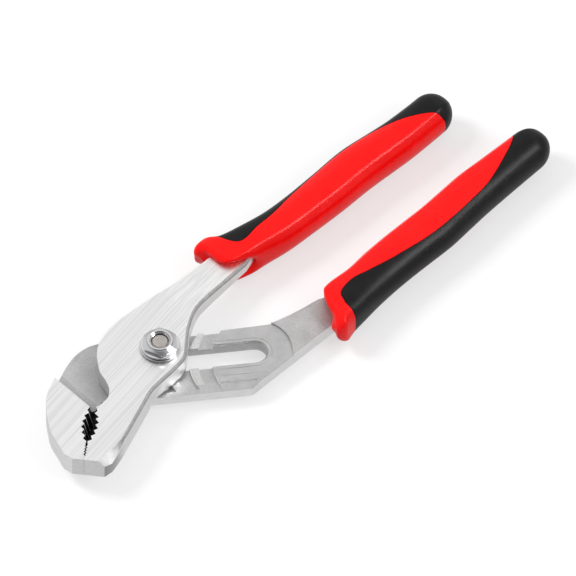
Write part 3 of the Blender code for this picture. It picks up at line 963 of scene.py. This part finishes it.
# %% Nut: flange and collar
nut_low, nut_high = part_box("pivot_nut")
low, high = nut_low.z, nut_high.z
flange, lip = nut_high.x, 0.0003
bore, collar, collar_round = 0.00362, 0.0048, 0.0008
collar_foot, collar_rise, collar_top, collar_drop = 0.0060, 0.0010, 0.0056, 0.0009
nut = spun("pivot_nut_turned", [
    (bore, low), (flange - edge, low), *rounded(flange - edge, low + edge, edge, -90, 0, 3),
    *rounded(flange - lip, low + 2 * lip, lip, 0, 85, 4), (collar_foot, low + collar_rise),
    (collar_top, high - collar_drop), *rounded(collar, high - collar_round, collar_round, 10, 170, 10),
    (bore, high - collar_drop), (bore, low)])

# %% Nut: hexagon
across_flats = 0.0130
hexagon_turn = math.radians(18.2)
hexagon_foot, hexagon_top, hexagon_round = 0.0005, 0.0003, 0.0003
cone_radius, cone_top_radius, cone_drop, cone_top_drop = 0.0086, 0.0055, 0.0022, 0.0006
hollow_radius, hollow_overrun = 0.0045, 0.001
bpy.ops.object.select_all(action="DESELECT")
bpy.ops.mesh.primitive_cylinder_add(vertices=6, radius=across_flats / math.sqrt(3),
                                    depth=high - low - (hexagon_foot + hexagon_top),
                                    location=(0, 0, (high + low) / 2 + (hexagon_foot - hexagon_top) / 2),
                                    rotation=(0, 0, hexagon_turn))
hexagon = bpy.context.object
bpy.ops.object.transform_apply(location=True, rotation=True, scale=True)
soften(hexagon, hexagon_round, 2, lambda middle, a, b: is_wall(a, plumb_rise) and is_wall(b, plumb_rise))
carve(hexagon, spun("nut_chamfer_form", [
    (0.0, low), (cone_radius, low), (cone_radius, high - cone_drop),
    (cone_top_radius, high - cone_top_drop), (0.0, high - cone_top_drop)]), "INTERSECT")
carve(hexagon, spun("nut_bore_form", [
    (0, low - hollow_overrun), (hollow_radius, low - hollow_overrun),
    (hollow_radius, high + hollow_overrun), (0, high + hollow_overrun)]))
carve(nut, hexagon, "UNION")
paint(nut, polished)
# Painted shade: the gap round the bolt inside the nut is painted black.
paint(nut, painted_shade, lambda middle, normal: middle.xy.length < bore + hair / 2
      and middle.z < high - cone_top_drop)
shade(nut, 25)
seat(nut, "pivot", ["pivot_nut"])

# %% [markdown]
# ### Bolt
# The bolt's head lies under the tool. Its shoulder fills the slot, and its neck comes up through
# the plate arm, the washer and the nut, so that its raw end shows in the middle of the nut.

# %% Bolt
bolt_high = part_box("pivot_bolt")[1]
head, head_height, head_round, head_lip, head_inset = bolt_high.x, 0.0030, 0.0010, 0.0003, 0.0014
shoulder, neck = 0.0047, 0.0034
shoulder_top, bolt_end = 0.0085, bolt_high.z
end_chamfer, end_depth = 0.0004, 0.0006
bolt = spun("pivot_bolt_turned", [
    (0, 0), (head - head_inset, 0), *rounded(head - head_round, head_round, head_round, -70, 0, 5),
    *rounded(head - head_lip, head_height - head_lip, head_lip, 0, 90, 3), (shoulder, head_height),
    (shoulder, shoulder_top), (neck, shoulder_top), (neck, bolt_end - end_chamfer),
    (neck - end_chamfer, bolt_end), (0, bolt_end)])
paint(bolt, polished)
paint(bolt, raw, lambda middle, normal: middle.z > bolt_end - end_depth)
shade(bolt)
seat(bolt, "pivot", ["pivot_bolt"])

# %% [markdown]
# ## Grips
# Each grip is one smooth, banana-shaped form. Its cross-section changes from a rounded box at
# the collar to an oval at the end. Two circles are bridged into a tube with many rings, and each
# ring is then moved to its place along a list of stations: where its centre is, how wide, how
# deep and how square it is. The red sleeve and the black cover are cut from that one form.

# %% Stations of the grips
grip_height = 0.0100
grip_half = 0.0090
# place along the grip, sway of the centre, half width, half depth, squareness
upper_stations = [
    (0.025, 0.55, 1.17, 0.95, 3.3), (0.045, 0.51, 1.18, 0.97, 3.3), (0.075, 0.31, 1.04, 0.98, 3.1),
    (0.14, 0.165, 0.98, 0.97, 2.8), (0.23, 0.00, 0.99, 0.95, 2.5), (0.33, -0.03, 1.005, 0.94, 2.4),
    (0.46, 0.005, 1.05, 0.95, 2.4), (0.59, 0.085, 1.07, 0.96, 2.4), (0.71, 0.00, 1.005, 0.97, 2.4),
    (0.78, -0.047, 0.967, 0.97, 2.4), (0.87, -0.028, 0.948, 0.97, 2.3), (0.925, 0.005, 0.955, 0.97, 2.2),
]
lower_stations = [
    (0.03, 0.58, 1.20, 0.95, 3.5), (0.06, 0.48, 1.15, 0.96, 3.3), (0.098, 0.43, 1.12, 0.95, 3.0),
    (0.166, 0.36, 1.065, 0.94, 2.6), (0.246, 0.245, 1.095, 0.94, 2.4), (0.332, 0.184, 1.10, 0.95, 2.4),
    (0.425, 0.163, 1.105, 0.95, 2.4), (0.503, 0.146, 1.105, 0.95, 2.4), (0.589, 0.042, 1.082, 0.96, 2.4),
    (0.675, -0.06, 1.058, 0.97, 2.4), (0.76, -0.094, 1.004, 0.97, 2.4), (0.847, -0.122, 0.968, 0.97, 2.3),
    (0.925, -0.145, 0.945, 0.97, 2.2),
]
# edge of the black cover: place along the grip, distance from the centre line
upper_edge = [
    (0.040, 0.80), (0.052, 0.25), (0.075, -0.06), (0.110, -0.04), (0.165, 0.20), (0.256, 0.43),
    (0.337, 0.65), (0.48, 0.82), (0.60, 0.80), (0.69, 0.74), (0.78, 0.46), (0.865, -0.09),
    (0.915, -0.60), (0.94, -1.30),
]
lower_edge = [
    (0.048, 0.40), (0.066, -0.10), (0.13, -0.24), (0.19, -0.01), (0.26, 0.27), (0.33, 0.44),
    (0.42, 0.575), (0.53, 0.60), (0.62, 0.60), (0.71, 0.51), (0.81, 0.06), (0.895, -0.52), (0.93, -1.30),
]
station_steps, edge_steps = 5, 6


def smooth(points, steps):
    """Points on a smooth curve that passes through every given point."""
    ends = [points[0], *points, points[-1]]
    found = []
    for before, start, stop, after in zip(ends, ends[1:], ends[2:], ends[3:]):
        for step in range(steps):
            t = step / steps
            found.append(tuple(
                0.5 * (2 * q + (r - p) * t + (2 * p - 5 * q + 4 * r - s) * t * t
                       + (3 * q - 3 * r + s - p) * t * t * t)
                for p, q, r, s in zip(before, start, stop, after)))
    found.append(tuple(points[-1]))
    return found


print("Stations:", len(upper_stations), "on the upper grip,", len(lower_stations), "on the lower")

# %% [markdown]
# ### Rings of a grip
# Three groups of rings make a grip: a rolled lip round the hollow front, the rings that follow
# the stations, and a dome that closes the end. A quarter turn shapes the lip and the dome.

# %% Rings of a grip
lip_radius, lip_steps = 0.0026, 7
lip_insets, lip_hollow = (0.0062, 0.0046), 0.0006
dome_steps = 12


def quarter(steps):
    """Angles from nothing up to a quarter turn, without the last."""
    return [math.pi / 2 * step / steps for step in range(steps)]


def grip_rings(stations, collar, reach, axis):
    """Every ring of a grip: x, y of its centre, half width, half depth and squareness."""
    out = math.copysign(1, axis)
    rows = [(collar + place * (reach - collar), axis + out * sway * grip_half,
             wide * grip_half, deep * grip_half, square)
            for place, sway, wide, deep, square in smooth(stations, station_steps)]
    x, y, wide, deep, square = rows[0]
    front = [(x - lip_radius + lip_hollow, y, wide - inset, deep - inset, square) for inset in lip_insets]
    for angle in quarter(lip_steps):
        inset = lip_radius * (1 - math.sin(angle))
        front.append((x - lip_radius * math.cos(angle), y, wide - inset, deep - inset, square))
    x, y, wide, deep, square = rows[-1]
    tail = [(x + (reach - x) * math.sin(angle), y, wide * math.cos(angle), deep * math.cos(angle), square)
            for angle in quarter(dome_steps)[1:]]
    return front + rows + tail


# %% [markdown]
# ### Form of a grip
# A ring isn't a circle but a rounded box: roots of its cosine and sine push it outward into
# corners, the more the higher its squareness is. Near the collar each ring is also swept along
# the grip, so that the front is the wavy line of the real one, and a low ridge runs along the top.

# %% Form of a grip
ridge_turn, ridge_width, ridge_height = 121, 12, 0.00050
wave_length = 0.0240
straight = {"wave": 0.0, "top": 0.0, "bottom": 0.0, "sweep": 0.0}


def front_shift(front, cos, sin):
    """How far the collar's front is swept along the grip at one turn of the ring."""
    lift = front["top"] if sin > 0 else front["bottom"]
    if not front["sweep"]:
        return lift * abs(sin) - front["wave"] * cos
    return lift * abs(sin) + (front["sweep"] * cos ** 4 if cos < 0 else -front["wave"] * cos * cos)


def move_to_rings(form, rings, front):
    """Moves each ring of a plain tube to its place on the grip."""
    start = rings[0][0]
    out = math.copysign(1, rings[0][1])
    for vertex in form.data.vertices:
        x, y, wide, deep, square = rings[round(vertex.co.z * (len(rings) - 1))]
        turn = math.atan2(vertex.co.y, vertex.co.x)
        cos, sin = math.cos(turn), math.sin(turn)
        side = math.copysign(abs(cos) ** (2 / square), cos)
        rise = math.copysign(abs(sin) ** (2 / square), sin)
        fade = max(0.0, 1 - (x - start) / wave_length)
        shift = front_shift(front, cos, sin) * (fade * fade)
        off_ridge = (math.degrees(turn) - ridge_turn) / ridge_width
        ridge = 1 + ridge_height / grip_half * math.exp(-off_ridge ** 2)
        vertex.co = (x + shift, y + out * wide * side * ridge, grip_height + deep * rise * ridge)


def grip_form(name, rings, front, points=72):
    """A closed grip form: two circles bridged into a tube, its rings moved to their stations."""
    bpy.ops.object.select_all(action="DESELECT")
    bpy.ops.mesh.primitive_circle_add(vertices=points, radius=1, location=(0, 0, 0))
    form = bpy.context.object
    form.name = form.data.name = name
    bpy.ops.object.mode_set(mode="EDIT")
    bpy.ops.mesh.select_all(action="SELECT")
    bpy.ops.mesh.duplicate()
    bpy.ops.transform.translate(value=(0, 0, 1))
    bpy.ops.mesh.select_all(action="SELECT")
    bpy.ops.mesh.bridge_edge_loops(number_cuts=len(rings) - 2, interpolation="LINEAR")
    close()
    move_to_rings(form, rings, front)
    edit(form)
    bpy.ops.mesh.select_mode(type="EDGE")
    bpy.ops.mesh.select_non_manifold()
    bpy.ops.mesh.edge_face_add()
    close_outward()
    print(name, "has", len(rings), "rings of", points, "points")
    return form


# %% [markdown]
# ### Sleeve and cover
# The cover is what the form and an upright cutter with the wavy outline of the black part share,
# less a core. The sleeve is the form less that same shell, cut a little wider, so that a fine
# dark parting line shows between the two, as between real mouldings.

# %% Cut a grip into its sleeve and its cover
parting = 0.00022
cover_depth = 0.0022
core_points = 48
cutter_low, cutter_high = -0.02, 0.04
cutter_beyond, cutter_past = 0.03, 0.01


def centre_at(rings, x):
    """The grip's centre line at x, read between its rings."""
    for here, after in zip(rings, rings[1:]):
        if here[0] <= x < after[0]:
            return here[1] + (after[1] - here[1]) * (x - here[0]) / (after[0] - here[0])
    return rings[-1][1]


def cover_tool(name, shares, rings, collar, reach, margin):
    """An upright cutter with the outline of the black cover."""
    out = math.copysign(1, rings[0][1])
    edge = []
    for place, across in smooth(shares, edge_steps):
        x = collar + place * (reach - collar)
        edge.append((x, centre_at(rings[2:], x) + out * (across * grip_half - margin)))
    beyond = edge[0][1] + out * cutter_beyond
    edge[0] = (edge[0][0] - margin, edge[0][1])
    past = reach + cutter_past
    outline = [(edge[0][0], beyond), *edge, (past, edge[-1][1]), (past, beyond)]
    return upright(name, outline, cutter_low, cutter_high)


def make_grip(side, stations, shares, collar, reach, axis, front, body):
    """The red sleeve and the black cover of one grip."""
    rings = grip_rings(stations, collar, reach, axis)
    core_rings = [(x, y, wide - cover_depth, deep - cover_depth, square)
                  for x, y, wide, deep, square in rings if min(wide, deep) > 2 * cover_depth]
    sleeve = grip_form(f"{side}_grip_sleeve_moulding", rings, front)
    cover = grip_form(f"{side}_grip_cover_moulding", rings, front)
    carve(cover, cover_tool("cover_tool", shares, rings, collar, reach, 0.0), "INTERSECT")
    carve(cover, grip_form("cover_core", core_rings, straight, core_points))
    rebate = cover_tool("rebate_tool", shares, rings, collar, reach, parting)
    carve(rebate, grip_form("rebate_core", core_rings, straight, core_points))
    carve(sleeve, rebate)
    paint(sleeve, red)
    paint(cover, black)
    for piece in (sleeve, cover):
        shade(piece, 35)
    seat(sleeve, body, [f"{side}_grip_sleeve"])
    seat(cover, body, [f"{side}_grip_cover"])


# %% Upper and lower grip
make_grip("upper", upper_stations, upper_edge, collar=0.0505, reach=0.1753, axis=0.0145,
          front={"wave": 0.0048, "top": -0.0027, "bottom": 0.0, "sweep": 0.0110}, body="plate_half")
make_grip("lower", lower_stations, lower_edge, collar=0.0635, reach=0.1913, axis=-0.0275,
          front={"wave": 0.0047, "top": -0.0006, "bottom": 0.0025, "sweep": 0.0}, body="grooved_half")

# %% [markdown]
# ## Floor and light
# The tool lies on a white table. The table is matt, and adds some light of its own where the
# camera looks at it, so that it reads as white and still takes the shadow. In the steel it is
# mirrored as a plain pale sheet, and from below it is clear.

# %% Helpers for light
def white_light(tree, kind, strength):
    """A node that gives white light, with its strength."""
    return add_node(tree, kind, {"Color": (1, 1, 1, 1), "Strength": strength})


def chosen(tree, share, first, second):
    """The first of two shaders, and the second by its share."""
    return add_node(tree, "ShaderNodeMixShader", {"Fac": share, 1: first.outputs[0], 2: second.outputs[0]})


# %% Floor
table_grey, table_glow, sheet_light, sheet_share = 0.42, 0.57, 0.88, 0.7
bpy.ops.object.select_all(action="DESELECT")
bpy.ops.mesh.primitive_plane_add(size=6, location=(0.06, 0, -0.0004))
floor = bpy.context.object
floor.name = "floor"
table = bpy.data.materials.new("white_table")
table.use_nodes = True
tree = table.node_tree
tree.nodes.clear()
rays = add_node(tree, "ShaderNodeLightPath")
matt = add_node(tree, "ShaderNodeBsdfDiffuse", {"Color": (*grey(table_grey), 1)})
seen = reckon(tree, "MULTIPLY", rays.outputs["Is Camera Ray"], table_glow)
glow = white_light(tree, "ShaderNodeEmission", seen)
lit = add_node(tree, "ShaderNodeAddShader", {0: matt.outputs[0], 1: glow.outputs[0]})
sheet = white_light(tree, "ShaderNodeEmission", sheet_light)
above = chosen(tree, reckon(tree, "MULTIPLY", rays.outputs["Is Glossy Ray"], sheet_share), lit, sheet)
under = add_node(tree, "ShaderNodeNewGeometry")
sided = chosen(tree, under.outputs["Backfacing"], above, add_node(tree, "ShaderNodeBsdfTransparent"))
add_node(tree, "ShaderNodeOutputMaterial", {"Surface": sided.outputs[0]})
floor.data.materials.append(table)
print("The floor lies at", round(1000 * floor.location.z, 1), "mm")

# %% [markdown]
# ### Room
# Steel shows what is round it, so the room matters more than the lamps. It is bright overhead and
# behind the tool, grey elsewhere, and darkest where the photographer stands, which draws the grey
# lines along the bevels and the dark marks in the nut. A dimmer spot in the bright part keeps the
# flat faces from glaring. Three small bright patches, as from soft boxes, give the highlights on
# the nut, the rounded edges and the grips. The camera itself sees plain white.

# %% Room light
soft_strength, white_strength = 0.54, 1.0
world = bpy.data.worlds.new("room")
bpy.context.scene.world = world
world.use_nodes = True
tree = world.node_tree
tree.nodes.clear()
direction = add_node(tree, "ShaderNodeTexCoord")


def patch(turn, lift, inner, outer, outside, inside):
    """A soft round patch of the room: its edges in degrees, and the light outside and inside it."""
    near = add_node(tree, "ShaderNodeVectorMath", {
        0: direction.outputs["Generated"], 1: towards(turn, lift)})
    near.operation = "DOT_PRODUCT"
    fall = span(tree, near.outputs["Value"], outside, inside,
                math.cos(math.radians(outer)), math.cos(math.radians(inner)))
    fall.interpolation_type = "SMOOTHSTEP"
    return fall.outputs["Result"]


photographer = patch(226, 42, 22, 50, 1.0, 0.30)
overhead = patch(50, 56, 22, 62, 0.42, 1.02)
dim_spot = patch(46, 55, 3, 16, 1.0, 0.72)
soft_box = patch(302, 6, 8, 18, 0.0, 1.0)
side_box = patch(299, 40, 3, 12, 0.0, 19.0)
high_box = patch(313, 50, 4, 14, 0.0, 7.5)
boxes = reckon(tree, "ADD", reckon(tree, "ADD", soft_box, side_box), high_box)
steady = reckon(tree, "MULTIPLY", reckon(tree, "MULTIPLY", photographer, overhead), dim_spot)
soft = white_light(tree, "ShaderNodeBackground", soft_strength)
mirrored = white_light(tree, "ShaderNodeBackground", reckon(tree, "ADD", steady, boxes))
white = white_light(tree, "ShaderNodeBackground", white_strength)
rays = add_node(tree, "ShaderNodeLightPath")
shine = chosen(tree, rays.outputs["Is Glossy Ray"], soft, mirrored)
seen = chosen(tree, rays.outputs["Is Camera Ray"], shine, white)
add_node(tree, "ShaderNodeOutputWorld", {"Surface": seen.outputs[0]})
print("The room's light has", len(tree.nodes), "nodes")

# %% [markdown]
# ### Lamps
# One strong lamp stands behind the tool, high up, and a weaker, wider one fills in from the
# front. They light what is matt. The steel mirrors the room instead, so they are hidden from its
# reflections.

# %% Lamps
def lamp(name, place, size, watts):
    """A square lamp that points at the tool."""
    data = bpy.data.lights.new(name, "AREA")
    data.shape = "SQUARE"
    data.size = size
    data.energy = watts
    light = bpy.data.objects.new(name, data)
    light.location = aim + Vector(place)
    light.rotation_mode = "QUATERNION"
    light.rotation_quaternion = (-Vector(place)).to_track_quat("-Z", "Y")
    light.visible_glossy = False
    bpy.context.scene.collection.objects.link(light)
    print(name, "at", [round(value, 2) for value in light.location], "m,", watts, "W")


lamp("key_lamp", (-0.36, 0.68, 0.85), 0.40, 8.5)
lamp("fill_lamp", (0.30, -0.80, 0.75), 0.60, 4.0)
bpy.context.scene.view_settings.view_transform = "Standard"
